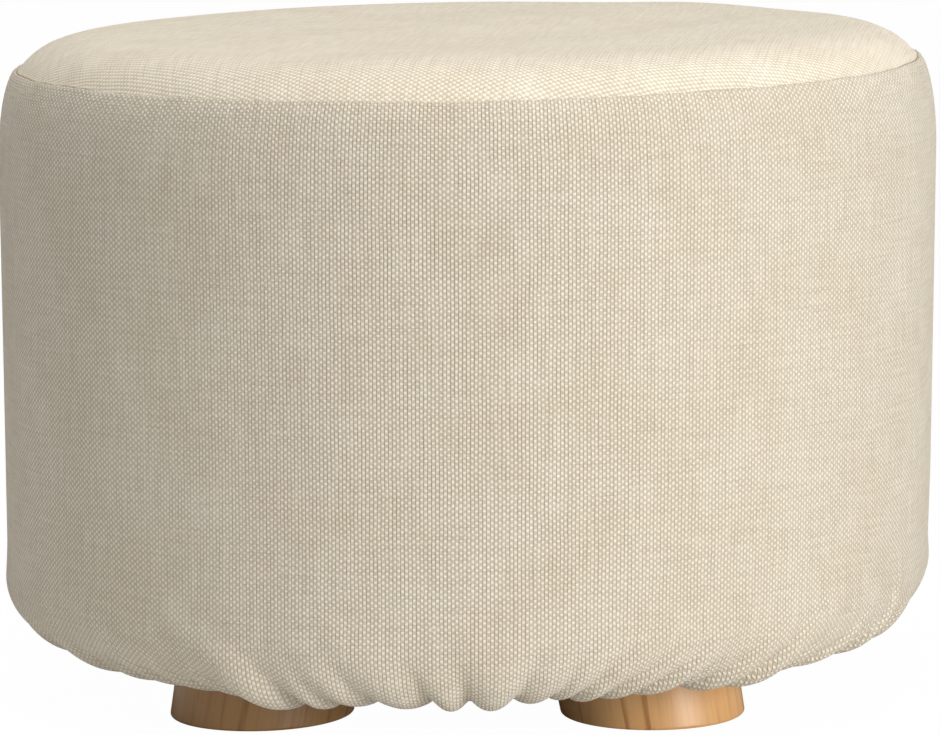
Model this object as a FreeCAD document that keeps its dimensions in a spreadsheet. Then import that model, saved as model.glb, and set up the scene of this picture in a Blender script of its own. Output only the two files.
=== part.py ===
import FreeCAD
import Part
import Sketcher
import math
import os

# Round upholstered footstool: a wooden drum frame on four splayed turned feet, foam on its top
# and round its side, a sewn lining, and a loose woven cover with a seam round the top and a hem
# that an elastic band gathers under the base.
# Origin: on the floor, below the middle of the seat. +Z is up and the front looks along -Y.

doc = FreeCAD.newDocument("footstool")

# Sizes, in millimetres and degrees
SIZES = (
    ("CoverDiameter", 280, "widest diameter over the cover"),
    ("TopHeight", 196.5, "highest point of the seat above the floor"),
    ("CrownRise", 1.4, "rise of the top panel from its shoulder to its middle"),
    ("ShoulderWidth", 20, "width of the rounded shoulder, measured in from the seam"),
    ("SeamInset", 6, "how far the stitches of top panel and side band lie inside the widest"),
    ("SeamDrop", 10, "how far those stitches lie below the highest point"),
    ("SeamAllowance", 8, "fabric beyond the stitches, turned down inside"),
    ("StitchBend", 1.5, "radius of the top panel's bend into that allowance"),
    ("PuffHeight", 27, "height below the seam in which the side swells to its widest"),
    ("SideDraw", 0.7, "how far the side draws in again at the start of the lower rounding"),
    ("CoverFabric", 1.0, "thickness of the cover's woven cloth"),
    ("HemDrop", 15, "how far the cover hangs below the bottom board"),
    ("HemRound", 19.4, "height of the rounded lower edge"),
    ("HemFlat", 3, "width over which the folds flatten into the elastic's casing"),
    ("FoldCount", 48, "main folds of the gathered hem"),
    ("FoldRidge", 1.3, "how far a fold stands out"),
    ("FoldValley", 1.7, "how far the cloth draws in between two folds"),
    ("FoldReach", 14, "height over which the folds fade out above the rounding"),
    ("ElasticInset", 31.5, "how far the inner edge of the elastic lies inside the widest"),
    ("ElasticWidth", 6, "width of the elastic band"),
    ("ElasticThickness", 1.0, "thickness of the elastic band"),
    ("LiningFabric", 0.5, "thickness of the inner lining"),
    ("SoftGap", 0.3, "clearance between the soft layers and what they lie on"),
    ("SideFoam", 10, "thickness of the foam round the drum"),
    ("FoamRound", 6, "rounding of the side foam's lower edge, over the lining"),
    ("LiningTurn", 24.3, "width of the lining that is turned in under the bottom board"),
    ("SeatFoam", 36, "thickness of the seat foam at its middle"),
    ("BoardThickness", 12, "thickness of the top and bottom boards"),
    ("BaseHeight", 30, "underside of the bottom board above the floor"),
    ("WallThickness", 3, "thickness of the fibreboard wall of the drum"),
    ("WallJoint", 1.0, "gap between the two ends of the wall, over the back post"),
    ("PostDepth", 28, "radial size of a frame post"),
    ("PostWidth", 44, "tangential size of a frame post"),
    ("DustCloth", 0.4, "thickness of the cloth under the bottom board"),
    ("DustLap", 11, "how far that cloth covers the turned-in lining"),
    ("FootInset", 58.7, "how far inside the widest each foot's axis meets the floor"),
    ("FootDiameter", 53, "diameter of a foot at the floor, square to its axis"),
    ("FootTaper", 1.75, "angle of the foot's side to its axis, wider upwards"),
    ("FootSplay", 14, "lean of the feet, outwards at the floor"),
    ("FootEdge", 0.8, "rounding of the foot's lower edge"),
    ("BoltDiameter", 8, "hanger bolt"),
    ("BoltInFoot", 21, "depth of the hanger bolt in the foot"),
    ("BoltInBoard", 16, "length of the hanger bolt above the foot"),
    ("BoltPoint", 4, "length of the bolt's pointed lower end"),
    ("BoltGap", 0.1, "radial clearance of the bolt in its hole and nut"),
    ("NutBarrel", 10, "outer diameter of the tee nut's barrel"),
    ("NutBarrelLength", 9, "length of that barrel"),
    ("NutFlange", 22, "diameter of the tee nut's flange"),
    ("NutFlangeThickness", 1.5, "thickness of that flange"),
    ("NutGap", 0.2, "radial clearance of the barrel in the board"),
    ("ScrewDiameter", 4, "frame screw"),
    ("ScrewHead", 8, "diameter of its countersunk head"),
    ("ScrewLength", 40, "length of the screw with its head"),
    ("ScrewPoint", 5, "length of the screw's point"),
    ("ScrewSpacing", 24, "distance between the two screws of a post"),
    ("ScrewGap", 0.05, "radial clearance of the screw in its hole"),
    ("StapleCount", 16, "staples that hold the lining and the dust cloth"),
    ("StapleWidth", 10, "outer width of a staple"),
    ("StapleLeg", 6, "length of a staple leg in the board"),
    ("StapleWire", 0.8, "width and thickness of the staple wire"),
    ("StapleGap", 0.1, "clearance of a staple leg in its slot"),
)
sheet = doc.addObject("Spreadsheet::Sheet", "Sizes")
for row, (alias, value, meaning) in enumerate(SIZES, 1):
    sheet.set(f"A{row}", meaning)
    sheet.set(f"B{row}", str(value))
    sheet.setAlias(f"B{row}", alias)
doc.recompute()


def size(alias):
    """The value that the sheet holds under this name."""
    return float(sheet.get(alias))


def number(expression):
    """The value of an expression on the sheet's names."""
    result = sheet.evalExpression(expression)
    return float(getattr(result, "Value", result))


def bind(thing, **expressions):
    """Tie properties of an object to expressions on the sheet; __ stands for a dot in the name."""
    for prop, expression in expressions.items():
        thing.setExpression(prop.replace("__", "."), expression)
    return thing


# Sizes that follow from the sheet, as expressions
SKIN = "(Sizes.CoverFabric + Sizes.SoftGap + Sizes.LiningFabric + Sizes.SoftGap)"
FOAM_RADIUS = f"(Sizes.CoverDiameter / 2 - {SKIN})"
WALL_RADIUS = f"({FOAM_RADIUS} - Sizes.SideFoam - Sizes.SoftGap)"
BOARD_RADIUS = f"({WALL_RADIUS} - Sizes.WallThickness - Sizes.SoftGap)"
BASE_TOP = "(Sizes.BaseHeight + Sizes.BoardThickness)"
SEAT_BOARD_TOP = f"(Sizes.TopHeight - {SKIN} - Sizes.SeatFoam - Sizes.SoftGap)"
SEAT_BOARD_LOW = f"({SEAT_BOARD_TOP} - Sizes.BoardThickness)"
POST_OUT = f"(sqrt({BOARD_RADIUS} ^ 2 - (Sizes.PostWidth / 2) ^ 2) - Sizes.SoftGap)"
POST_MIDDLE = f"({POST_OUT} - Sizes.PostDepth / 2)"
SEAM_RADIUS = "(Sizes.CoverDiameter / 2 - Sizes.SeamInset)"
SEAM_HEIGHT = "(Sizes.TopHeight - Sizes.SeamDrop)"
HEM_HEIGHT = "(Sizes.BaseHeight - Sizes.HemDrop)"
ELASTIC_RADIUS = "(Sizes.CoverDiameter / 2 - Sizes.ElasticInset)"
LINING_RADIUS = f"({BOARD_RADIUS} - Sizes.LiningTurn)"
DUST_RADIUS = f"({LINING_RADIUS} + Sizes.DustLap)"
CLOTH_LOW = "(Sizes.BaseHeight - Sizes.LiningFabric)"
FOOT_TOP = f"({CLOTH_LOW} - Sizes.DustCloth)"
FOOT_CIRCLE = "(Sizes.CoverDiameter / 2 - Sizes.FootInset)"
BOLT_CIRCLE = f"({FOOT_CIRCLE} - {FOOT_TOP} * tan(Sizes.FootSplay * 1 deg))"
BOLT_RADIUS = "(Sizes.BoltDiameter / 2)"
BOLT_HOLE = f"({BOLT_RADIUS} + Sizes.BoltGap)"
SCREW_HOLE = "(Sizes.ScrewDiameter / 2 + Sizes.ScrewGap)"
SCREW_SINK = "(Sizes.ScrewHead / 2 + Sizes.ScrewGap)"
STAPLE_SPAN = "(Sizes.StapleWidth - Sizes.StapleWire)"
STAPLE_HALF = "(Sizes.StapleWire / 2 + Sizes.StapleGap)"
STAPLE_CIRCLE = f"({LINING_RADIUS} + Sizes.DustLap / 2)"

AXIS = FreeCAD.Vector(0, 0, 1)
CORNERS = {"front_left": -135, "front_right": -45, "back_right": 45, "back_left": 135}
SIDES = {"front": -90, "right": 0, "back": 90, "left": 180}
parts = {}


def keep(name, thing, angle=0, radius=None):
    """Name a finished piece, turn it about the stool's axis and move it out to a radius."""
    thing.Label = name
    thing.Placement = FreeCAD.Placement(
        FreeCAD.Vector(0, 0, 0), FreeCAD.Rotation(FreeCAD.Vector(0, 0, 1), angle))
    if radius:
        bind(thing, Placement__Base__x=f"{radius} * cos({angle} deg)",
             Placement__Base__y=f"{radius} * sin({angle} deg)")
    parts[name] = thing
    return thing


# Bodies made from sketches
def plane(body, role):
    """One of a body's own origin planes."""
    return [f for f in body.Origin.OriginFeatures if f.Role == role][0]


def sketch_on(body, role, name, height=None, turn=0):
    """An empty sketch on an origin plane of the body, raised by an expression and turned."""
    sketch = body.newObject("Sketcher::SketchObject", name)
    sketch.AttachmentSupport = [(plane(body, role), "")]
    sketch.MapMode = "FlatFace"
    sketch.AttachmentOffset = FreeCAD.Placement(
        FreeCAD.Vector(0, 0, 0), FreeCAD.Rotation(FreeCAD.Vector(0, 0, 1), turn))
    if height:
        bind(sketch, AttachmentOffset__Base__z=height)
    return sketch


def limit(sketch, expression, kind, *where):
    """A size in a sketch that follows an expression."""
    index = sketch.addConstraint(Sketcher.Constraint(kind, *where, number(expression)))
    sketch.setExpression(f"Constraints[{index}]", expression)


def circle(sketch, radius, x=None):
    """A circle whose radius, and place along the sketch's X axis, follow expressions."""
    middle = FreeCAD.Vector(number(x) if x else 0, 0, 0)
    normal = FreeCAD.Vector(0, 0, 1)
    edge = sketch.addGeometry(Part.Circle(middle, normal, number(radius)), False)
    limit(sketch, radius, "Radius", edge)
    if x:
        sketch.addConstraint(Sketcher.Constraint("PointOnObject", edge, 3, -1))
        limit(sketch, x, "DistanceX", -1, 1, edge, 3)
    else:
        sketch.addConstraint(Sketcher.Constraint("Coincident", edge, 3, -1, 1))
    return edge


def polygon(sketch, corners):
    """A closed outline whose corners follow pairs of expressions; None lies on that axis."""
    points = [FreeCAD.Vector(number(x) if x else 0, number(y) if y else 0, 0) for x, y in corners]
    count = len(points)
    first = sketch.GeometryCount
    for k in range(count):
        sketch.addGeometry(Part.LineSegment(points[k], points[(k + 1) % count]), False)
    for k in range(count):
        after = first + (k + 1) % count
        sketch.addConstraint(Sketcher.Constraint("Coincident", first + k, 2, after, 1))
    for k, (x, y) in enumerate(corners, first):
        if x:
            limit(sketch, x, "DistanceX", -1, 1, k, 1)
        else:
            sketch.addConstraint(Sketcher.Constraint("PointOnObject", k, 1, -2))
        if y:
            limit(sketch, y, "DistanceY", -1, 1, k, 1)
        else:
            sketch.addConstraint(Sketcher.Constraint("PointOnObject", k, 1, -1))


def turned(name, corners):
    """A body turned about the stool's axis from an outline in radius and height."""
    body = doc.addObject("PartDesign::Body", name)
    sketch = sketch_on(body, "XZ_Plane", name + "_profile")
    polygon(sketch, corners)
    spin = body.newObject("PartDesign::Revolution", name + "_turned")
    spin.Profile = sketch
    spin.ReferenceAxis = (sketch, ["V_Axis"])
    spin.Angle = 360
    sketch.Visibility = False
    return body


def pocket(body, sketch, name, depth=None, upwards=False):
    """A pocket from a sketch, through everything or to a depth."""
    cut = body.newObject("PartDesign::Pocket", name)
    cut.Profile = sketch
    cut.Reversed = upwards
    if depth:
        bind(cut, Length=depth)
    else:
        cut.Type = "ThroughAll"
    return cut


def around(body, cut, sketch, name, count):
    """Repeat a cut evenly about the stool's axis."""
    pattern = body.newObject("PartDesign::PolarPattern", name)
    pattern.Originals = [cut]
    pattern.Axis = (sketch, ["N_Axis"])
    pattern.Angle = 360
    pattern.Occurrences = count
    body.Tip = pattern
    return pattern


# Smooth outlines of the soft layers, in radius and height
def at(radius, height):
    return FreeCAD.Vector(radius, 0, height)


def heading(start, end):
    """Direction from one point to another, in degrees above the outward radius."""
    return math.degrees(math.atan2(end.z - start.z, end.x - start.x))


def onward(route, end):
    """Carry a route to a point by the one arc that leaves along its last heading."""
    start, begin = route[-1]
    chord = heading(start, end)
    while chord - begin > 180:
        chord -= 360
    return route + [(end, 2 * chord - begin)]


def swing(route, radius, finish):
    """Carry a route round an arc of this radius until it heads along finish."""
    start, begin = route[-1]
    turn = finish - begin
    reach = 2 * radius * math.sin(math.radians(abs(turn) / 2))
    along = math.radians(begin + turn / 2)
    end = at(start.x + reach * math.cos(along), start.z + reach * math.sin(along))
    return route + [(end, finish)]


def beside(route, depth):
    """The same route, moved sideways to the right of its heading, which is into the stool."""
    moved = []
    for point, way in route:
        angle = math.radians(way)
        moved.append((at(point.x + depth * math.sin(angle), point.z - depth * math.cos(angle)), way))
    return moved


def edges_of(route):
    """Lines and arcs along a route."""
    edges = []
    for (start, begin), (end, finish) in zip(route, route[1:]):
        bow = math.radians(begin - finish) / 4
        if abs(bow) < 1e-6:
            edges.append(Part.LineSegment(start, end).toShape())
            continue
        half = (end - start) * 0.5
        left = at(-half.z, half.x)
        middle = start + half + left * math.tan(bow)
        edges.append(Part.Arc(start, middle, end).toShape())
    return edges


def spun(edges):
    """A solid of revolution from the closed outline that these edges make."""
    face = Part.Face(Part.Wire(Part.__sortEdges__(edges)))
    return face.revolve(FreeCAD.Vector(0, 0, 0), FreeCAD.Vector(0, 0, 1), 360)


def layer(route, outer, inner):
    """A cloth layer that lies between two depths beside a route, turned about the axis."""
    out, back = beside(route, outer), beside(route, inner)
    caps = [Part.LineSegment(out[0][0], back[0][0]).toShape(),
            Part.LineSegment(out[-1][0], back[-1][0]).toShape()]
    return spun(edges_of(out) + edges_of(back) + caps)


def filled(route, *corners):
    """A solid between a route and the straight lines through these corners, turned."""
    points = [route[-1][0], *corners, route[0][0]]
    sides = [Part.LineSegment(a, b).toShape() for a, b in zip(points, points[1:])]
    return spun(edges_of(route) + sides)


def feature(name, shape):
    """A piece whose shape is set directly."""
    thing = doc.addObject("Part::Feature", name)
    thing.Shape = shape
    return thing


def swell(route, radius, end, finish):
    """Swing round an arc of this radius just far enough for one more arc to reach end along finish."""
    way = finish
    for _ in range(20):
        turn = swing(route, radius, way)
        way = 2 * heading(turn[-1][0], end) - finish
    return onward(turn, end)


def corner(route, radius, finish, near, x=None, z=None):
    """Carry a route past a point near a corner and round it, to run on along the line x or z."""
    point = near
    for _ in range(20):
        turn = swing(onward(route, point), radius, finish)
        end = turn[-1][0]
        if x is None:
            point = at(point.x, point.z + z - end.z)
        else:
            point = at(point.x + x - end.x, point.z)
    return turn


def straight(route, end):
    """Carry a route in a straight line to a point that lies along its last heading."""
    return route + [(end, route[-1][1])]


cloth, gap, lining = size("CoverFabric"), size("SoftGap"), size("LiningFabric")
seam_radius, seam_height = number(SEAM_RADIUS), number(SEAM_HEIGHT)
widest = size("CoverDiameter") / 2
fold_radius = cloth + gap / 2
allowance_low = seam_height - size("SeamAllowance")

# Top panel of the cover: crown, shoulder, then its allowance turned down inside the seam
shoulder_start = at(seam_radius - size("ShoulderWidth"), size("TopHeight") - size("CrownRise"))
crown = onward([(at(0, size("TopHeight")), 0)], shoulder_start)
top_route = onward(crown, at(seam_radius - cloth, seam_height + cloth))
top_route = swing(top_route, size("StitchBend"), -90)
stitch_radius = top_route[-1][0].x
top_route = straight(top_route, at(stitch_radius, allowance_low))
keep("cover_top_panel", feature("TopPanel", layer(top_route, 0, cloth)))

# Side band of the cover: its own allowance, the fold at the seam, the swell of the side and the
# slightly drawn-in wall down to the gathered hem
band_radius = stitch_radius + gap / 2
fold_start = number(HEM_HEIGHT) + size("FoldRidge") + size("HemRound") + size("FoldReach")
side_route = [(at(band_radius, allowance_low), 90)]
side_route = straight(side_route, at(band_radius, seam_height - 2 * fold_radius))
side_route = swell(side_route, fold_radius, at(widest, seam_height - size("PuffHeight")), -90)
side_route = onward(side_route, at(widest - size("SideDraw"), fold_start))

# The hem: a rounded lower edge of folds, then a flat casing that holds the elastic
hem_top = fold_start - size("FoldReach")
hem_low = hem_top - size("HemRound")
casing_radius = number(ELASTIC_RADIUS)
casing_end = casing_radius + size("ElasticWidth") + gap
start, way = side_route[-1]
hem_start = at(start.x - (start.z - hem_top) * math.tan(math.radians(-90 - way)), hem_top)
round_width = hem_start.x - casing_end - size("HemFlat")
hem_route = straight([side_route[-1]], hem_start)
for quarter in (30, 60, 90):
    turn = math.radians(quarter)
    drop = size("HemRound") * math.sin(turn)
    hem_route = onward(hem_route, at(hem_start.x - round_width * (1 - math.cos(turn)), hem_top - drop))


# A ridge's share of its fold's width, the sines that vary the widths (size, step, start), and the
# share of their full height that the folds have at each station of the hem
RIDGE_SHARE = 0.6
WIDTH_SINES = ((0.22, 2.4, 0), (0.13, 4.1, 1))
FOLD_SHARES = (0, 0.35, 0.8, 1, 1, 0)


def fold_bounds():
    """Where the ridges and valleys of the hem begin and end, in radians; their widths vary."""
    weights = []
    for k in range(int(size("FoldCount"))):
        weight = 1 + sum(tall * math.sin(step * k + start) for tall, step, start in WIDTH_SINES)
        weights += [weight * RIDGE_SHARE, weight * (1 - RIDGE_SHARE)]
    bounds = [0]
    for weight in weights:
        bounds.append(bounds[-1] + 2 * math.pi * weight / sum(weights))
    return bounds


def fold_ring(station, share):
    """A ring of arcs at a station of the hem, waved across its surface by a share of the folds."""
    point, way = station
    turn = math.radians(way)
    out, up = -math.sin(turn), math.cos(turn)

    def place(angle, lift):
        radius = point.x + out * lift
        return FreeCAD.Vector(radius * math.cos(angle), radius * math.sin(angle), point.z + up * lift)

    edges = []
    for k, (begin, finish) in enumerate(zip(FOLDS, FOLDS[1:])):
        lift = share * (-size("FoldValley") if k % 2 else size("FoldRidge"))
        middle = place((begin + finish) / 2, lift)
        edges.append(Part.Arc(place(begin, 0), middle, place(finish, 0)).toShape())
    return Part.Wire(edges)


FOLDS = fold_bounds()
hem_route.append((at(casing_end, hem_low), -180))
outer_rings = [fold_ring(station, share) for station, share in zip(hem_route, FOLD_SHARES)]
inner_rings = [fold_ring(station, share) for station, share in zip(beside(hem_route, cloth), FOLD_SHARES)]
outside = Part.makeLoft(outer_rings, False, False)
inside = Part.makeLoft(inner_rings, False, False)
rims = [Part.makeRuledSurface(outer_rings[k], inner_rings[k]) for k in (0, -1)]
hem = Part.Solid(Part.Shell([face for skin in (outside, inside, *rims) for face in skin.Faces]))
casing_turn = size("ElasticThickness") / 2 + gap + cloth
casing_route = straight([hem_route[-1]], at(casing_radius, hem_low))
casing_route = swing(casing_route, casing_turn, -270)
casing_route = swing(casing_route, casing_turn, -360)
casing_route = straight(casing_route, at(casing_end, hem_low + 2 * casing_turn))
band = layer(side_route, 0, cloth).fuse([hem, layer(casing_route, 0, cloth)])
keep("cover_side_band", feature("SideBand", band))

# Elastic band in the casing
ELASTIC_OUT = f"({ELASTIC_RADIUS} + Sizes.ElasticWidth)"
ELASTIC_LOW = f"({HEM_HEIGHT} + Sizes.FoldRidge + Sizes.CoverFabric + Sizes.SoftGap)"
ELASTIC_HIGH = f"({ELASTIC_LOW} + Sizes.ElasticThickness)"
keep("hem_elastic", turned("Elastic", [
    (ELASTIC_RADIUS, ELASTIC_LOW), (ELASTIC_OUT, ELASTIC_LOW),
    (ELASTIC_OUT, ELASTIC_HIGH), (ELASTIC_RADIUS, ELASTIC_HIGH)]))

# Lining: over the seat foam, in past the seam's allowances, down the side and in under the board
seat_board_top = number(SEAT_BOARD_TOP)
lining_low = number(CLOTH_LOW)
soft_round = size("FoamRound")
lining_neck = stitch_radius - cloth - gap
lining_widest = widest - cloth - gap
lining_route = beside(crown, cloth + gap)
lining_route = corner(lining_route, soft_round, -90, at(lining_neck, seam_height), x=lining_neck)
lining_route = straight(lining_route, at(lining_neck, allowance_low - gap))
lining_route = swell(lining_route, soft_round, at(lining_widest, seat_board_top + gap), -90)
foam_split = len(lining_route)
fold_room = FOLD_SHARES[1] * size("FoldValley") + gap
lining_drawn = lining_widest - size("SideDraw") - fold_room
lining_route = onward(lining_route, at(lining_drawn, fold_start))
lining_route = corner(lining_route, soft_round, -180, at(lining_drawn - gap, hem_top), z=lining_low)
lining_route = straight(lining_route, at(number(LINING_RADIUS), lining_low))


def staple_legs(grow):
    """The legs of every staple, two to a staple, as bars grown by a clearance."""
    wire, reach = size("StapleWire") + 2 * grow, size("StapleLeg") + 2 * grow
    low = number(FOOT_TOP) - size("StapleWire") - grow
    high = size("BaseHeight") + reach - grow
    half = number(STAPLE_SPAN) / 2
    bars = []
    for k in range(int(size("StapleCount"))):
        pair = []
        for place in (-half, half):
            corner_point = FreeCAD.Vector(number(STAPLE_CIRCLE) - wire / 2, place - wire / 2, low)
            bar = Part.makeBox(wire, wire, high - low, corner_point)
            bar.rotate(FreeCAD.Vector(0, 0, 0), AXIS, 360 * k / size("StapleCount"))
            pair.append(bar)
        bars.append(pair)
    return bars


slot_bars = [bar for pair in staple_legs(size("StapleGap")) for bar in pair]
keep("inner_lining", feature("Lining", layer(lining_route, 0, lining).cut(slot_bars)))

# Foam: a crowned seat pad over the whole drum, and a sheet round its side
foam_route = beside(lining_route, lining + gap)
seat_foam_low = at(0, foam_route[foam_split - 1][0].z)
keep("seat_foam", feature("SeatFoam", filled(foam_route[:foam_split], seat_foam_low)))
side_foam_top = at(foam_route[foam_split - 1][0].x, seat_board_top)
foam_inner = number(WALL_RADIUS) + gap
foam_side = [(side_foam_top, -90), *foam_route[foam_split:-1]]
foam_low = foam_side[-1][0].z
keep("side_foam", feature("SideFoam", filled(
    foam_side, at(foam_inner, foam_low), at(foam_inner, seat_board_top))))


def spots(sketch, radius, x, y):
    """Two circles, one at each side of the sketch's X axis."""
    for side in ("", "-"):
        middle = FreeCAD.Vector(number(x), number(side + y), 0)
        normal = FreeCAD.Vector(0, 0, 1)
        edge = sketch.addGeometry(Part.Circle(middle, normal, number(radius)), False)
        limit(sketch, radius, "Radius", edge)
        limit(sketch, x, "DistanceX", -1, 1, edge, 3)
        limit(sketch, side + y, "DistanceY", -1, 1, edge, 3)


def slots(body, name, face, depth):
    """Slots for the legs of the staples, all round a piece, cut upwards from its lower face."""
    sketch = sketch_on(body, "XY_Plane", name, face)
    near, far = (f"({STAPLE_CIRCLE} {sign} {STAPLE_HALF})" for sign in "-+")
    for side in ("", "-"):
        low = f"{side}({STAPLE_SPAN} / 2) - {STAPLE_HALF}"
        high = f"{side}({STAPLE_SPAN} / 2) + {STAPLE_HALF}"
        polygon(sketch, [(near, low), (far, low), (far, high), (near, high)])
    cut = pocket(body, sketch, name + "_cut", depth, True)
    around(body, cut, sketch, name + "_all", int(size("StapleCount")))


def foot_holes(body, name, radius, face, depth):
    """Round holes over the feet's bolts, cut upwards from the piece's lower face."""
    sketch = sketch_on(body, "XY_Plane", name, face, CORNERS["back_right"])
    circle(sketch, radius, BOLT_CIRCLE)
    cut = pocket(body, sketch, name + "_cut", depth, True)
    around(body, cut, sketch, name + "_all", len(CORNERS))


def disc(name, radius, low, thickness, hollow=None):
    """A round plate, or a ring."""
    body = doc.addObject("PartDesign::Body", name)
    outline = sketch_on(body, "XY_Plane", name + "_outline", low)
    circle(outline, radius)
    if hollow:
        circle(outline, hollow)
    pad = body.newObject("PartDesign::Pad", name + "_plate")
    pad.Profile = outline
    bind(pad, Length=thickness)
    return body


def screwed_board(name, low, heads_up):
    """A round board with countersunk holes for the frame screws, two over each post."""
    body = disc(name, BOARD_RADIUS, low, "Sizes.BoardThickness")
    face = f"({low} + Sizes.BoardThickness)" if heads_up else low
    for kind, radius, depth, taper in (("hole", SCREW_HOLE, "Sizes.BoardThickness", 0),
                                       ("sink", SCREW_SINK, f"({SCREW_SINK} - {SCREW_HOLE})", -45)):
        sketch = sketch_on(body, "XY_Plane", f"{name}_{kind}", face)
        spots(sketch, radius, POST_MIDDLE, "(Sizes.ScrewSpacing / 2)")
        cut = pocket(body, sketch, f"{name}_{kind}_cut", depth, not heads_up)
        cut.TaperAngle = taper
        around(body, cut, sketch, f"{name}_{kind}_all", len(SIDES))
    return body


keep("top_board", screwed_board("TopBoard", SEAT_BOARD_LOW, True))

# Bottom board: the feet's tee nuts sit in it, and staples hold lining and dust cloth to it
NUT_HOLE = "(Sizes.NutBarrel / 2 + Sizes.NutGap)"
bottom_board = screwed_board("BottomBoard", "Sizes.BaseHeight", False)
foot_holes(bottom_board, "BottomBoard_nut_hole", NUT_HOLE, "Sizes.BaseHeight", "Sizes.BoardThickness")
slots(bottom_board, "BottomBoard_slots", "Sizes.BaseHeight", "(Sizes.StapleLeg + Sizes.StapleGap)")
keep("bottom_board", bottom_board)

# Dust cloth under the bottom board and the turned-in lining
dust_cloth = disc("DustCloth", DUST_RADIUS, FOOT_TOP, "Sizes.DustCloth")
foot_holes(dust_cloth, "DustCloth_bolt_hole", BOLT_HOLE, FOOT_TOP, "Sizes.DustCloth")
slots(dust_cloth, "DustCloth_slots", FOOT_TOP, "Sizes.DustCloth")
keep("dust_cloth", dust_cloth)

# Wall of the drum: a sheet bent round the boards, its two ends meeting over the back post
WALL_INNER = f"({WALL_RADIUS} - Sizes.WallThickness)"
WALL_HEIGHT = f"({SEAT_BOARD_TOP} - Sizes.BaseHeight)"
drum_wall = disc("DrumWall", WALL_RADIUS, "Sizes.BaseHeight", WALL_HEIGHT, WALL_INNER)
joint = sketch_on(drum_wall, "XY_Plane", "DrumWall_joint", "Sizes.BaseHeight", SIDES["back"])
JOINT_SIDE = "(Sizes.WallJoint / 2)"
polygon(joint, [(BOARD_RADIUS, f"-{JOINT_SIDE}"), (FOAM_RADIUS, f"-{JOINT_SIDE}"),
                (FOAM_RADIUS, JOINT_SIDE), (BOARD_RADIUS, JOINT_SIDE)])
pocket(drum_wall, joint, "DrumWall_joint_cut", WALL_HEIGHT, True)
keep("drum_wall", drum_wall)

# Posts between the boards, their outer corners at the wall
POST_IN = f"({POST_OUT} - Sizes.PostDepth)"
POST_SIDE = "(Sizes.PostWidth / 2)"
SCREW_REACH = "(Sizes.ScrewLength - Sizes.BoardThickness + Sizes.ScrewGap)"
for side_name, angle in SIDES.items():
    post = doc.addObject("PartDesign::Body", "Post_" + side_name)
    section = sketch_on(post, "XY_Plane", post.Name + "_section", BASE_TOP)
    polygon(section, [(POST_IN, f"-{POST_SIDE}"), (POST_OUT, f"-{POST_SIDE}"),
                      (POST_OUT, POST_SIDE), (POST_IN, POST_SIDE)])
    batten = post.newObject("PartDesign::Pad", post.Name + "_batten")
    batten.Profile = section
    bind(batten, Length=f"{SEAT_BOARD_LOW} - {BASE_TOP}")
    for end_name, face in (("low", BASE_TOP), ("high", SEAT_BOARD_LOW)):
        pilots = sketch_on(post, "XY_Plane", f"{post.Name}_{end_name}_pilots", face)
        spots(pilots, SCREW_HOLE, POST_MIDDLE, "(Sizes.ScrewSpacing / 2)")
        pocket(post, pilots, f"{post.Name}_{end_name}_drilled", SCREW_REACH, end_name == "low")
    keep("frame_post_" + side_name, post, angle)

# Feet: turned cones that lean out, cut level at the floor and at the base, with a bolt hole
FOOT_MARGIN = "(Sizes.FootDiameter / 2)"
for corner_name, angle in CORNERS.items():
    cone = bind(doc.addObject("Part::Cone", "FootCone_" + corner_name),
                Height=f"{FOOT_TOP} + 2 * {FOOT_MARGIN}",
                Radius1=f"{FOOT_MARGIN} - {FOOT_MARGIN} * tan(Sizes.FootTaper * 1 deg)",
                Radius2=f"{FOOT_MARGIN} + ({FOOT_TOP} + {FOOT_MARGIN}) * tan(Sizes.FootTaper * 1 deg)")
    cone.Placement.Rotation = FreeCAD.Rotation(FreeCAD.Vector(0, 1, 0), -size("FootSplay"))
    bind(cone, Placement__Base__x=f"{FOOT_CIRCLE} + {FOOT_MARGIN} * sin(Sizes.FootSplay * 1 deg)",
         Placement__Base__z=f"-{FOOT_MARGIN} * cos(Sizes.FootSplay * 1 deg)")
    level = bind(doc.addObject("Part::Box", "FootLevel_" + corner_name),
                 Length="4 * Sizes.FootDiameter", Width="4 * Sizes.FootDiameter", Height=FOOT_TOP,
                 Placement__Base__x=f"{FOOT_CIRCLE} - 2 * Sizes.FootDiameter",
                 Placement__Base__y="-2 * Sizes.FootDiameter")
    leg = doc.addObject("Part::Common", "FootBody_" + corner_name)
    leg.Base, leg.Tool = cone, level
    bore = bind(doc.addObject("Part::Cylinder", "FootBore_" + corner_name), Radius=BOLT_HOLE,
                Height="Sizes.BoltInFoot + Sizes.BoltGap", Placement__Base__x=BOLT_CIRCLE,
                Placement__Base__z=f"{FOOT_TOP} - Sizes.BoltInFoot - Sizes.BoltGap")
    bored = doc.addObject("Part::Cut", "FootBored_" + corner_name)
    bored.Base, bored.Tool = leg, bore
    doc.recompute()
    rounded = doc.addObject("Part::Fillet", "Foot_" + corner_name)
    rounded.Base = bored
    floor_edges = [k for k, edge in enumerate(bored.Shape.Edges, 1)
                   if edge.BoundBox.ZMax < size("FootEdge")]
    rounded.Edges = [(k, size("FootEdge"), size("FootEdge")) for k in floor_edges]
    keep("foot_" + corner_name, rounded, angle)

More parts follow.
